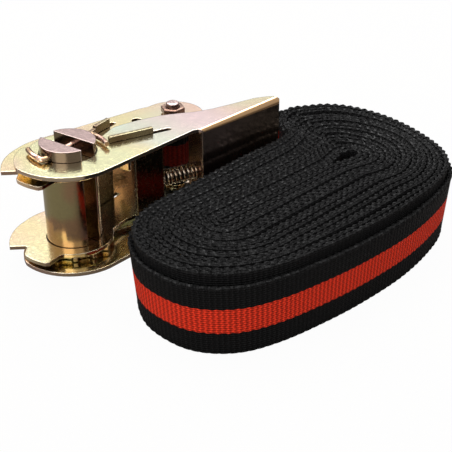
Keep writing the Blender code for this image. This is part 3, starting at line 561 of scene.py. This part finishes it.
def weave_group():
    """Ribbed plain weave with a stripe, from a map in metres along and across."""
    inputs = [("Map", VECTOR, None), ("Width", FLOAT, 0.025), ("Stripe", FLOAT, 0.0086)]
    inputs += [("Pick", FLOAT, 0.00165), ("Ground", COLOUR, None), ("Band", COLOUR, None)]
    outputs = [("Color", COLOUR), ("Height", FLOAT), ("Roughness", FLOAT), ("Gloss", FLOAT)]
    nodes, given, result = group("striped_weave", inputs, outputs)
    along, across = nodes.axis(given["Map"], 0), nodes.axis(given["Map"], 1)
    fuzz = nodes.noise(given["Map"], 700.0, 2.0, 0.6)
    bend = nodes.math("MULTIPLY_ADD", fuzz, 0.0003, along)
    tau = 2.0 * math.pi
    rib_turn = nodes.math("MULTIPLY", nodes.math("DIVIDE", bend, given["Pick"]), tau)
    warp_turn = nodes.math("MULTIPLY", across, tau / WARP_PITCH)
    warp = nodes.math("SINE", warp_turn)
    rib = nodes.math("SINE", rib_turn)
    flip = nodes.math("SINE", nodes.math("MULTIPLY", warp_turn, 0.5))
    over = nodes.math("SINE", nodes.math("MULTIPLY_ADD", nodes.math("SIGN", flip), 0.9, rib_turn))
    yarn = nodes.math("MULTIPLY_ADD", over, 0.45, nodes.math("MULTIPLY", warp, 0.35))
    height = nodes.math("MULTIPLY_ADD", rib, 0.35, yarn)
    height = nodes.math("MULTIPLY_ADD", fuzz, 0.5, height)
    ragged = nodes.math("SINE", nodes.math("MULTIPLY", along, tau / (LOOP_PITCH * MM)))
    ragged = nodes.math("MULTIPLY", ragged, 0.00013)
    middle = nodes.math("MULTIPLY_ADD", given["Width"], -0.5, across)
    from_middle = nodes.math("ADD", nodes.math("ABSOLUTE", middle), ragged)
    edge = nodes.math("MULTIPLY", given["Stripe"], 0.5)
    inside = nodes.span(nodes.math("SUBTRACT", edge, from_middle), -0.00006, 0.00006)
    hue = nodes.mix(inside, given["Ground"], given["Band"])
    # painted shade in the weave's valleys and painted highlight on its crests: the colour follows the yarn's
    # height
    nodes.feed(nodes.shaded(hue, nodes.span(height, -0.9, 1.1, 0.42, 1.12)), result["Color"])
    nodes.feed(height, result["Height"])
    nodes.feed(nodes.span(fuzz, 0.2, 0.8, 0.55, 0.82), result["Roughness"])
    half = nodes.math("MULTIPLY", given["Width"], 0.5)
    from_edge = nodes.math("SUBTRACT", half, nodes.math("ABSOLUTE", middle))
    looped = nodes.span(from_edge, 0.0009, 0.0015, 1.0, 0.0)
    slanted = nodes.moved(given["Map"], scale=(520.0, 1500.0, 1.0), turn=(0.0, 0.0, 0.30))
    strands = nodes.span(nodes.noise(slanted, 1.0, 1.0, 0.5), 0.44, 0.70, 0.02, 0.34)
    faint = nodes.math("MULTIPLY", nodes.span(rib, 0.55, 1.0), 0.05)
    nodes.feed(nodes.math("MULTIPLY_ADD", looped, strands, faint), result["Gloss"])
    return nodes.tree


# --- materials ---------------------------------------------------------------
def new_material(name):
    material = bpy.data.materials.new(name)
    material.use_nodes = True
    material.node_tree.nodes.clear()
    nodes = Nodes(material.node_tree)
    shader = nodes.add("ShaderNodeBsdfPrincipled")
    end = nodes.add("ShaderNodeOutputMaterial")
    nodes.feed(shader.outputs[0], end.inputs["Surface"])
    return material, nodes, shader


def use_group(nodes, name, **values):
    node = nodes.add("ShaderNodeGroup", node_tree=bpy.data.node_groups[name])
    for key, value in values.items():
        nodes.feed(value, node.inputs[key])
    return node.outputs


def dim(colour, factor):
    return tuple(factor * v for v in colour)


def colour4(values, factor=1.0):
    return dim(values[:3], factor) + (1.0,)


def facing_tint(nodes, coordinates, tint, sides, bend, tops):
    """The tint changed by which way a face points, with painted shade and painted reflections; steel() says what
    the colours are.
    """
    facing = nodes.add("ShaderNodeTexCoord").outputs["Normal"]
    slope = nodes.math("ABSOLUTE", nodes.axis(facing, 2))
    upright = nodes.span(slope, 0.3, 0.7, 1.0, 0.0)
    # upright faces browner: partly the film of cut edges, partly painted shade; with a heading, painted shade on
    # those faces alone
    for colour, heading in sides:
        share = upright
        if heading:
            toward = nodes.span(nodes.dot(facing, heading), 0.2, 0.6)
            share = nodes.math("MULTIPLY", upright, toward)
        tint = nodes.mix(share, tint, nodes.mix(0.25, colour4(colour), tint))
    # painted reflection across the fold between level and upright faces
    if bend:
        off_upright = nodes.span(slope, 0.05, 0.2)
        off_level = nodes.span(slope, 0.93, 0.998, 1.0, 0.0)
        folded = nodes.math("MULTIPLY", off_upright, off_level)
        tint = nodes.mix(folded, tint, colour4(bend))
    # painted reflection on level faces, then painted shade on upright faces above the upper plate
    if tops:
        tint = nodes.mix(nodes.span(slope, 0.6, 0.9), tint, colour4(tops))
        raised = nodes.span(nodes.axis(coordinates, 2), (BAR_TOP - 0.8) * MM, BAR_TOP * MM)
        tint = nodes.mix(nodes.math("MULTIPLY", upright, raised), tint, colour4(tops, 0.28))
    return tint


def steel(
    name, tints, roughness, scale=30.0, shift=(0, 0, 0), wear=0.6,
    bands=(), sides=(), bend=None, tops=None,
):
    """Polished passivated steel in three drifting tints.

    bands are (millimetres from the spool axis along X, colour), left to right.
    sides are (colour, heading): a browner colour on upright faces, partly the film of
    cut edges and partly painted shade, or, with a heading, painted shade only on the
    upright faces that face it. bend is a painted reflection on a fold between level and
    upright. tops is a painted reflection on level faces; the sides proud of the upper
    plate get painted shade, a darker copy of tops.
    """
    material, nodes, shader = new_material(name)
    coordinates = nodes.add("ShaderNodeTexCoord").outputs["Object"]
    vector = nodes.moved(coordinates, shift)
    film = use_group(
        nodes, "passivation", Vector=vector, Scale=scale, First=colour4(tints[0]),
        Second=colour4(tints[1]), Third=colour4(tints[2]), Roughness=roughness,
    )
    edge = use_group(nodes, "edge_wear", Vector=vector, Radius=0.0004, Amount=wear)
    grain = use_group(nodes, "sheet_grain", Vector=vector)
    tint = film["Color"]
    if bands:
        drift = nodes.noise(vector, 22.0, 2.0, 0.5)
        along = nodes.math("MULTIPLY_ADD", drift, BAND_DRIFT * MM, nodes.axis(coordinates, 0))
        band = colour4(bands[0][1])
        origin = AXLE.x + 0.5 * BAND_DRIFT * MM
        for (start, _), (stop, colour) in zip(bands, bands[1:]):
            reached = nodes.span(along, origin + start * MM, origin + stop * MM)
            band = nodes.mix(reached, band, colour4(colour))
        tint = nodes.mix(0.72, tint, band)
    if sides or tops:
        tint = facing_tint(nodes, coordinates, tint, sides, bend, tops)
    rubbed = nodes.mix(edge["Mask"], tint, colour4(WORN))
    nodes.feed(rubbed, shader.inputs["Base Color"])
    nodes.feed(film["Roughness"], shader.inputs["Roughness"])
    bump = nodes.add("ShaderNodeBump", {"Strength": 0.10, "Distance": 0.0004})
    nodes.feed(grain["Height"], bump.inputs["Height"])
    nodes.feed(edge["Normal"], bump.inputs["Normal"])
    nodes.feed(bump.outputs[0], shader.inputs["Normal"])
    shader.inputs["Metallic"].default_value = 1.0
    return material


# band below 1 dims the stripe's colour, which is painted shade
def webbing_material(name, settings, band=1.0):
    material, nodes, shader = new_material(name)
    mapped = nodes.add("ShaderNodeUVMap", uv_map="weave").outputs[0]
    cloth = use_group(
        nodes, "striped_weave", Map=mapped, Width=settings.width, Stripe=settings.stripe,
        Pick=settings.pick, Ground=colour4(settings.black),
        Band=colour4(settings.orange, band),
    )
    nodes.feed(cloth["Color"], shader.inputs["Base Color"])
    nodes.feed(cloth["Roughness"], shader.inputs["Roughness"])
    nodes.feed(cloth["Gloss"], shader.inputs["Coat Weight"])
    bump = nodes.add("ShaderNodeBump", {"Strength": 0.9, "Distance": 0.0004})
    nodes.feed(cloth["Height"], bump.inputs["Height"])
    nodes.feed(bump.outputs[0], shader.inputs["Normal"])
    shader.inputs["Specular IOR Level"].default_value = 0.10
    shader.inputs["Coat Roughness"].default_value = 0.3
    return material


def thread_material(name, colour):
    material, nodes, shader = new_material(name)
    coordinates = nodes.add("ShaderNodeTexCoord").outputs["Object"]
    twist = nodes.noise(coordinates, 2200.0, 2.0, 0.6)
    tone = nodes.mix(twist, colour4(colour, 0.6), colour4(colour))
    nodes.feed(tone, shader.inputs["Base Color"])
    bump = nodes.add("ShaderNodeBump", {"Strength": 0.5, "Distance": 0.0001, "Height": twist})
    nodes.feed(bump.outputs[0], shader.inputs["Normal"])
    nodes.feed(nodes.span(twist, 0.2, 0.8, 0.45, 0.7), shader.inputs["Roughness"])
    return material


def body_with(node):
    bodies = frame["record"]["behaviour"]["bodies"]
    return next(body for body, members in bodies.items() if node in members)


def softened(name, node, material, rounding=0.2):
    """A stamping with its edges rounded, made from a merged copy of the CAD node."""
    mesh_data = bmesh.new()
    mesh_data.from_mesh(frame["nodes"][node].data)
    bmesh.ops.remove_doubles(mesh_data, verts=mesh_data.verts, dist=MERGE)
    bmesh.ops.dissolve_limit(
        mesh_data, angle_limit=math.radians(0.5), use_dissolve_boundaries=False,
        verts=mesh_data.verts, edges=mesh_data.edges, delimit=set(),
    )
    if rounding:
        sharp = math.radians(30.0)
        edges = [e for e in mesh_data.edges if e.is_manifold and e.calc_face_angle() > sharp]
        bmesh.ops.bevel(
            mesh_data, geom=edges, offset=rounding * MM, segments=2, profile=0.5,
            affect="EDGES", clamp_overlap=True, material=-1,
        )
    piece = finished(name, mesh_data, 32.0)
    return fitted(piece, node, material)


def fitted(piece, node, material):
    """The piece stands for the CAD node, rides with it and has its finish."""
    flat = piece.modifiers.new("flat faces", "WEIGHTED_NORMAL")
    flat.keep_sharp = True
    flat.weight = 100
    piece.data.materials.clear()
    piece.data.materials.append(material)
    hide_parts(node)
    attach(piece, body_with(node))
    return piece


def settings_of(context):
    scene = context.scene
    return scene.webbing_settings, scene.steel_settings, scene.stage_settings


CAMERA_AIM = (55.0, -16.19)     # millimetres from the spool axis
CAMERA_TILT = 60.0              # degrees from looking straight down
CAMERA_HEADING = -38.0


# --- operators ---------------------------------------------------------------
class STRAP_OT_finishes(bpy.types.Operator):
    """Make the shared effects that the finishes are built from"""

    bl_idname = "ratchet_strap.finishes"
    bl_label = "Shared effects"

    def execute(self, context):
        passivation_group()
        edge_group()
        grain_group()
        weave_group()
        return {"FINISHED"}


class STRAP_OT_plates(bpy.types.Operator):
    """Finish the handle, the frame and the pawls in yellow passivated steel"""

    bl_idname = "ratchet_strap.plates"
    bl_label = "Handle, frame and pawls"

    def execute(self, context):
        look = settings_of(context)[1]
        tints = (look.cream, look.rose, look.mint)
        lilac = (0.84, 0.70, 0.74)
        gold = (0.80, 0.66, 0.42)
        straw = (0.82, 0.74, 0.40)
        frost = (0.70, 0.82, 0.68)
        peach = (0.84, 0.62, 0.50)
        bands = (
            (-22.0, peach), (-12.0, straw), (14.0, straw), (30.0, frost), (56.0, lilac),
            (80.0, gold),
        )
        plate = steel(
            "handle_zinc", tints, 0.14, 26.0, (0.012, 0.03, 0.0), look.wear, bands=bands,
            # upright rims browner, partly the film of cut edges and partly painted shade; painted reflection on
            # the rolled fold
            sides=[((0.42, 0.30, 0.24), None)], bend=(0.36, 0.22, 0.11),
        )
        softened("handle_stamping", "handle", plate)
        tints = (look.rose, look.cream, look.mint)
        bands = ((-24.0, gold), (-8.0, straw), (12.0, peach), (30.0, straw), (52.0, peach))
        plate = steel(
            "frame_zinc", tints, 0.15, 30.0, (0.2, 0.05, 0.1), look.wear, bands=bands,
            # painted shade on the frame's upright faces that face -Y, the inner side of its web
            sides=[((0.26, 0.15, 0.11), (0.0, -1.0, 0.0))],
        )
        softened("frame_stamping", "frame", plate)
        dusk = (0.24, 0.16, 0.10)
        olive = (0.34, 0.30, 0.17)
        plate = steel(
            "pawl_zinc", (olive, dusk, olive), 0.22, 60.0, (0.4, 0, 0), 0.35,
            # upright faces near black: partly the film of cut edges, partly painted shade
            sides=[((0.07, 0.045, 0.03), None)],
        )
        softened("drive_pawl_plate", "drive_pawl", plate, 0.15)
        softened("lock_pawl_plate", "lock_pawl", plate, 0.15)
        return {"FINISHED"}


class STRAP_OT_spool(bpy.types.Operator):
    """Make the spool bars and finish the ratchet wheels and split pins"""

    bl_idname = "ratchet_strap.spool"
    bl_label = "Spool"

    def execute(self, context):
        look = settings_of(context)[1]
        coppery = (0.40, 0.23, 0.18)
        olive = (0.34, 0.30, 0.15)
        pink = (0.46, 0.33, 0.31)
        bars = steel(
            "bar_zinc", (look.bronze, olive, coppery), 0.18, 70.0, (0.1, 0, 0.3), 0.4,
            # pink is a painted reflection on the bar ends' level faces; its darker copy is painted shade on their
            # sides above the upper plate
            tops=pink,
        )
        for name, node, turn in (("far_half_bar", "spool_bar_far", 0.0),
                                 ("near_half_bar", "spool_bar_near", 180.0)):
            fitted(half_bar(name, node, SLOT_ANGLE + turn), node, bars)
        wheels = steel("wheel_zinc", (dim(olive, 0.7), dim(look.bronze, 0.6), coppery), 0.28, 60.0)
        softened("upper_ratchet", "ratchet_wheel_upper", wheels, 0.15)
        softened("lower_ratchet", "ratchet_wheel_lower", wheels, 0.15)
        pins = steel("pin_zinc", (coppery, look.bronze, look.rose), 0.24, 90.0, (0.7, 0, 0))
        softened("upper_split_pin", "split_pin_upper", pins, 0.0)
        softened("lower_split_pin", "split_pin_lower", pins, 0.0)
        return {"FINISHED"}


def half_bar(name, node, turn):
    """A half-moon bar: a round bar cut along its flat, with its edges broken."""
    low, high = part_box(node)
    mesh_data = bmesh.new()
    bmesh.ops.create_circle(mesh_data, cap_ends=True, segments=120, radius=BAR_RADIUS * MM)
    cut = bmesh.ops.bisect_plane(
        mesh_data, geom=mesh_data.verts[:] + mesh_data.edges[:] + mesh_data.faces[:],
        plane_co=(0.0, BAR_FLAT * MM, 0.0), plane_no=(0.0, -1.0, 0.0), clear_outer=True,
    )
    corners = [g for g in cut["geom_cut"] if isinstance(g, bmesh.types.BMVert)]
    bmesh.ops.bevel(
        mesh_data, geom=corners, offset=0.8 * MM, segments=4, profile=0.5, affect="VERTICES",
        clamp_overlap=True, material=-1,
    )
    raised = bmesh.ops.extrude_face_region(mesh_data, geom=mesh_data.faces[:])
    top = [g for g in raised["geom"] if isinstance(g, bmesh.types.BMVert)]
    bmesh.ops.translate(mesh_data, verts=top, vec=(0.0, 0.0, high.z - low.z))
    bmesh.ops.recalc_face_normals(mesh_data, faces=mesh_data.faces)
    rims = [e for e in mesh_data.edges if e.calc_face_angle(0.0) > math.radians(60.0)]
    bmesh.ops.bevel(
        mesh_data, geom=rims, offset=0.35 * MM, segments=3, profile=0.5, affect="EDGES",
        clamp_overlap=True, material=-1,
    )
    bmesh.ops.remove_doubles(mesh_data, verts=mesh_data.verts, dist=MERGE)
    bmesh.ops.dissolve_degenerate(mesh_data, dist=MERGE, edges=mesh_data.edges)
    turned = Matrix.Rotation(math.radians(turn), 3, "Z")
    bmesh.ops.rotate(mesh_data, verts=mesh_data.verts, cent=(0, 0, 0), matrix=turned)
    bmesh.ops.translate(mesh_data, verts=mesh_data.verts, vec=(AXLE.x, AXLE.y, low.z))
    return finished(name, mesh_data, 32.0)


class STRAP_OT_tail(bpy.types.Operator):
    """Finish the tail bolt, its nut and the sleeve that the webbing turns on"""

    bl_idname = "ratchet_strap.tail"
    bl_label = "Tail bolt"

    def execute(self, context):
        look = settings_of(context)[1]
        brown = (0.26, 0.15, 0.11)
        pink = (0.52, 0.38, 0.36)
        # upright faces near black: partly the film's own colour, partly painted shade
        dark = [((0.09, 0.05, 0.04), None)]
        screw = steel("bolt_zinc", (pink, dim(pink, 0.8), pink), 0.22, 120.0, sides=dark)
        softened("tail_screw", "tail_bolt", screw, 0.2)
        tints = (brown, dim(look.rose, 0.4), brown)
        nut = steel("nut_zinc", tints, 0.22, 120.0, wear=0.3, sides=dark)
        softened("hex_nut", "tail_nut", nut, 0.15)
        tube = steel("sleeve_zinc", (look.cream, dim(look.rose, 0.8), look.mint), 0.25, 60.0)
        softened("turning_sleeve", "tail_sleeve", tube, 0.1)
        return {"FINISHED"}


class STRAP_OT_coil(bpy.types.Operator):
    """Wind the free webbing into its flat oval coil"""

    bl_idname = "ratchet_strap.coil"
    bl_label = "Coiled webbing"

    def execute(self, context):
        cloth = settings_of(context)[0]
        thick = cloth.thickness / MM
        width = cloth.width / MM
        path = coil_path(cloth.turns, thick)
        coil = webbing_mesh("webbing_coil", path, width, thick, leaning=True)
        coil.data.materials.append(webbing_material("coil_webbing", cloth))
        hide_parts("strap_coil")
        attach(coil, "handle")
        return {"FINISHED"}


class STRAP_OT_lead(bpy.types.Operator):
    """Lay the short run of webbing from the tail to the coil"""

    bl_idname = "ratchet_strap.lead"
    bl_label = "Webbing lead"

    def execute(self, context):
        cloth = settings_of(context)[0]
        path = spaced(lead_path(), STEP)
        lead = webbing_mesh("webbing_lead", path, cloth.width / MM, cloth.thickness / MM)
        lead.data.materials.append(bpy.data.materials["coil_webbing"])
        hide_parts("strap_lead")
        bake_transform(lead)
        return {"FINISHED"}


class STRAP_OT_eye(bpy.types.Operator):
    """Turn the webbing round the tail sleeve and sew it to itself"""

    bl_idname = "ratchet_strap.eye"
    bl_label = "Sewn eye"

    def execute(self, context):
        cloth = settings_of(context)[0]
        path = spaced(eye_path(), STEP)
        eye = webbing_mesh("webbing_eye", path, cloth.width / MM, cloth.thickness / MM)
        # the stripe dimmed to 0.18: painted shade on the eye, which sits in shadow between the plates
        eye.data.materials.append(webbing_material("eye_webbing_painted_shade", cloth, 0.18))
        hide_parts("strap_eye")
        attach(eye, "frame")
        threads = stitches()
        threads.data.materials.append(thread_material("stitch_thread", (0.34, 0.02, 0.010)))
        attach(threads, "frame")
        return {"FINISHED"}


def stitches():
    """Rows of lockstitches on both faces of the doubled tail."""
    mesh_data = bmesh.new()
    for face in (1.0, -1.0):
        for row in range(4):
            foot = SEWN_START + TAIL_ALONG * (0.3 + 1.7 * row) + TAIL_NORMAL * face * 1.56
            for k in range(10):
                made = bmesh.ops.create_icosphere(mesh_data, subdivisions=1, radius=0.5)
                shape = made["verts"]
                bmesh.ops.scale(mesh_data, verts=shape, vec=(0.42, 0.42, 1.75))
                for vert in shape:
                    vert.co = place(
                        foot.x + vert.co.x, foot.y + vert.co.y, 12.2 + 2.3 * k + vert.co.z
                    )
    return finished("eye_stitching", mesh_data, 60.0)


def coil_spring(name, start, axis, length, radius, wire, turns):
    """A compression spring with a closed turn at each end."""
    mesh_data = bmesh.new()
    made = bmesh.ops.create_circle(mesh_data, radius=wire, segments=10)
    side = Vector((-axis.y, axis.x, 0.0))
    for vert in made["verts"]:
        spot = start + side * radius
        vert.co = spot + side * vert.co.x + Vector((0, 0, 1)).cross(side) * vert.co.y
    section = made["verts"]
    closed = 2.2 * wire
    active = (length - 2.0 * wire - 2.0 * closed) / (turns - 2)
    for rise, count in ((closed, 1), (active, turns - 2), (closed, 1)):
        steps = 24 * count
        ring = [e for v in section for e in v.link_edges if e.other_vert(v) in section]
        edges = list(dict.fromkeys(ring))
        spun = bmesh.ops.spin(
            mesh_data, geom=section + edges, cent=start, axis=axis, dvec=axis * (rise / 24.0),
            angle=2.0 * math.pi * count, steps=steps, use_duplicate=False,
        )
        section = [g for g in spun["geom_last"] if isinstance(g, bmesh.types.BMVert)]
        start = start + axis * (rise * count)
    bmesh.ops.holes_fill(mesh_data, edges=[e for e in mesh_data.edges if e.is_boundary], sides=0)
    bmesh.ops.recalc_face_normals(mesh_data, faces=mesh_data.faces)
    return finished(name, mesh_data)


class STRAP_OT_springs(bpy.types.Operator):
    """Wind the two pawl springs in round wire"""

    bl_idname = "ratchet_strap.springs"
    bl_label = "Pawl springs"

    def execute(self, context):
        tints = ((0.30, 0.22, 0.15), (0.36, 0.30, 0.24), (0.24, 0.15, 0.09))
        wire = steel("spring_steel", tints, 0.18, 200.0, (0.2, 0, 0), 0.0)
        # name, node, joint, body, length, radius, wire radius, turns, offset across the pull
        rows = (
            ("drive_pawl_spring", "drive_spring", JOINTS["drive_pawl_pull"], "handle",
             13.0, 2.7, 0.4, 8, -0.8),
            ("lock_pawl_spring", "lock_spring", JOINTS["lock_pawl_pull"], "frame",
             7.6, 1.8, 0.38, 6, 5.6),
        )
        for name, node, joint, body, length, radius, gauge, turns, offset in rows:
            axis = Vector(joint["axis"]).normalized()
            side = Vector((-axis.y, axis.x, 0.0))
            low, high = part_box(node)
            middle = 0.5 * (low + high)
            along = (middle - AXLE).dot(axis)
            foot = AXLE + axis * along + side * offset * MM
            foot.z = middle.z
            start = foot - axis * (0.5 * length - gauge - 0.1) * MM
            spring = coil_spring(
                name, start, axis, (length - 0.2) * MM, radius * MM, gauge * MM, turns
            )
            spring.data.materials.append(wire)
            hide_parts(node)
            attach(spring, body)
            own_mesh(spring)
        return {"FINISHED"}


class STRAP_OT_stage(bpy.types.Operator):
    """Lay the pale floor and set the soft lights and the camera"""

    bl_idname = "ratchet_strap.stage"
    bl_label = "Floor, light and camera"

    def execute(self, context):
        look = settings_of(context)[2]
        scene = context.scene
        floor_piece(look)
        sky(scene)
        softbox("overhead", (0.12, 0.25, 0.62), (0.02, 0.0, 0.0), 0.75, look.key_power)
        softbox("camera_side", (-0.62, -0.30, 0.34), (0.0, 0.0, 0.02), 0.5, look.fill_power)
        aim = place(*CAMERA_AIM)
        tilt = math.radians(CAMERA_TILT)
        heading = math.radians(CAMERA_HEADING)
        camera_data = bpy.data.cameras.new("camera")
        camera = bpy.data.objects.new("camera", camera_data)
        scene.collection.objects.link(camera)
        back = Vector((
            math.sin(tilt) * math.sin(heading), -math.sin(tilt) * math.cos(heading), math.cos(tilt)
        ))
        camera.location = aim + back * look.distance
        camera.rotation_euler = (tilt, 0.0, heading)
        camera_data.lens = look.lens
        camera_data.sensor_width = 36.0
        camera_data.clip_start = 0.01
        scene.camera = camera
        scene.view_settings.view_transform = "Standard"
        return {"FINISHED"}


def floor_piece(look):
    mesh_data = bmesh.new()
    bmesh.ops.create_grid(mesh_data, x_segments=1, y_segments=1, size=3.0)
    bmesh.ops.translate(mesh_data, verts=mesh_data.verts, vec=(0.0, 0.0, -0.0001))
    floor = finished("floor", mesh_data)
    material, nodes, shader = new_material("pale_floor")
    shader.inputs["Base Color"].default_value = colour4(look.floor)
    shader.inputs["Roughness"].default_value = 0.9
    glow = nodes.add("ShaderNodeEmission", {"Color": (1, 1, 1, 1), "Strength": 1.03})
    ray = nodes.add("ShaderNodeLightPath").outputs["Is Camera Ray"]
    share = nodes.math("MULTIPLY", ray, 0.94)
    mixed = nodes.add("ShaderNodeMixShader", {0: share, 1: shader.outputs[0], 2: glow.outputs[0]})
    end = next(n for n in nodes.tree.nodes if n.type == "OUTPUT_MATERIAL")
    nodes.feed(mixed.outputs[0], end.inputs["Surface"])
    floor.data.materials.append(material)
    return floor


def sky(scene):
    """Pale room, brighter overhead than at the level of the floor."""
    world = bpy.data.worlds.new("room")
    scene.world = world
    world.use_nodes = True
    world.node_tree.nodes.clear()
    nodes = Nodes(world.node_tree)
    direction = nodes.add("ShaderNodeTexCoord").outputs["Generated"]
    height = nodes.add("ShaderNodeSeparateXYZ", {0: direction}).outputs[2]
    ramp = nodes.span(height, 0.0, 0.5)
    tone = nodes.mix(ramp, (0.13, 0.12, 0.12, 1), (1.0, 1.0, 1.0, 1))
    ray = nodes.add("ShaderNodeLightPath").outputs["Is Camera Ray"]
    seen = nodes.mix(ray, tone, (1, 1, 1, 1))
    back = nodes.add("ShaderNodeBackground", {"Color": seen, "Strength": 1.0})
    end = nodes.add("ShaderNodeOutputWorld")
    nodes.feed(back.outputs[0], end.inputs["Surface"])


def softbox(name, location, target, size, power):
    data = bpy.data.lights.new(name, "AREA")
    data.shape = "SQUARE"
    data.size = size
    data.energy = power
    lamp = bpy.data.objects.new(name, data)
    bpy.context.scene.collection.objects.link(lamp)
    lamp.location = location
    lamp.rotation_euler = (Vector(target) - Vector(location)).to_track_quat("-Z", "Y").to_euler()


OPERATORS = (
    STRAP_OT_finishes, STRAP_OT_plates, STRAP_OT_spool, STRAP_OT_tail, STRAP_OT_coil,
    STRAP_OT_lead, STRAP_OT_eye, STRAP_OT_springs, STRAP_OT_stage,
)
SETTINGS = (
    ("webbing_settings", WebbingSettings), ("steel_settings", SteelSettings),
    ("stage_settings", StageSettings),
)


class STRAP_PT_panel(bpy.types.Panel):
    """Lists the pieces and their settings"""

    bl_idname = "STRAP_PT_panel"
    bl_label = "Ratchet Strap"
    bl_space_type = "VIEW_3D"
    bl_region_type = "UI"
    bl_category = "Ratchet Strap"

    def draw(self, context):
        layout = self.layout
        for attribute, kind in SETTINGS:
            box = layout.box()
            values = getattr(context.scene, attribute)
            for name in kind.__annotations__:
                box.prop(values, name)
        for operator in OPERATORS:
            layout.operator(operator.bl_idname)


def register():
    for attribute, kind in SETTINGS:
        bpy.utils.register_class(kind)
        setattr(bpy.types.Scene, attribute, PointerProperty(type=kind))
    for operator in OPERATORS:
        bpy.utils.register_class(operator)
    bpy.utils.register_class(STRAP_PT_panel)


def unregister():
    bpy.utils.unregister_class(STRAP_PT_panel)
    for operator in reversed(OPERATORS):
        bpy.utils.unregister_class(operator)
    for attribute, kind in reversed(SETTINGS):
        delattr(bpy.types.Scene, attribute)
        bpy.utils.unregister_class(kind)


def main():
    register()
    bpy.ops.ratchet_strap.finishes()
    bpy.ops.ratchet_strap.plates()
    bpy.ops.ratchet_strap.spool()
    bpy.ops.ratchet_strap.tail()
    bpy.ops.ratchet_strap.coil()
    bpy.ops.ratchet_strap.lead()
    bpy.ops.ratchet_strap.eye()
    bpy.ops.ratchet_strap.springs()
    bpy.ops.ratchet_strap.stage()


if __name__ == "__main__":
    main()
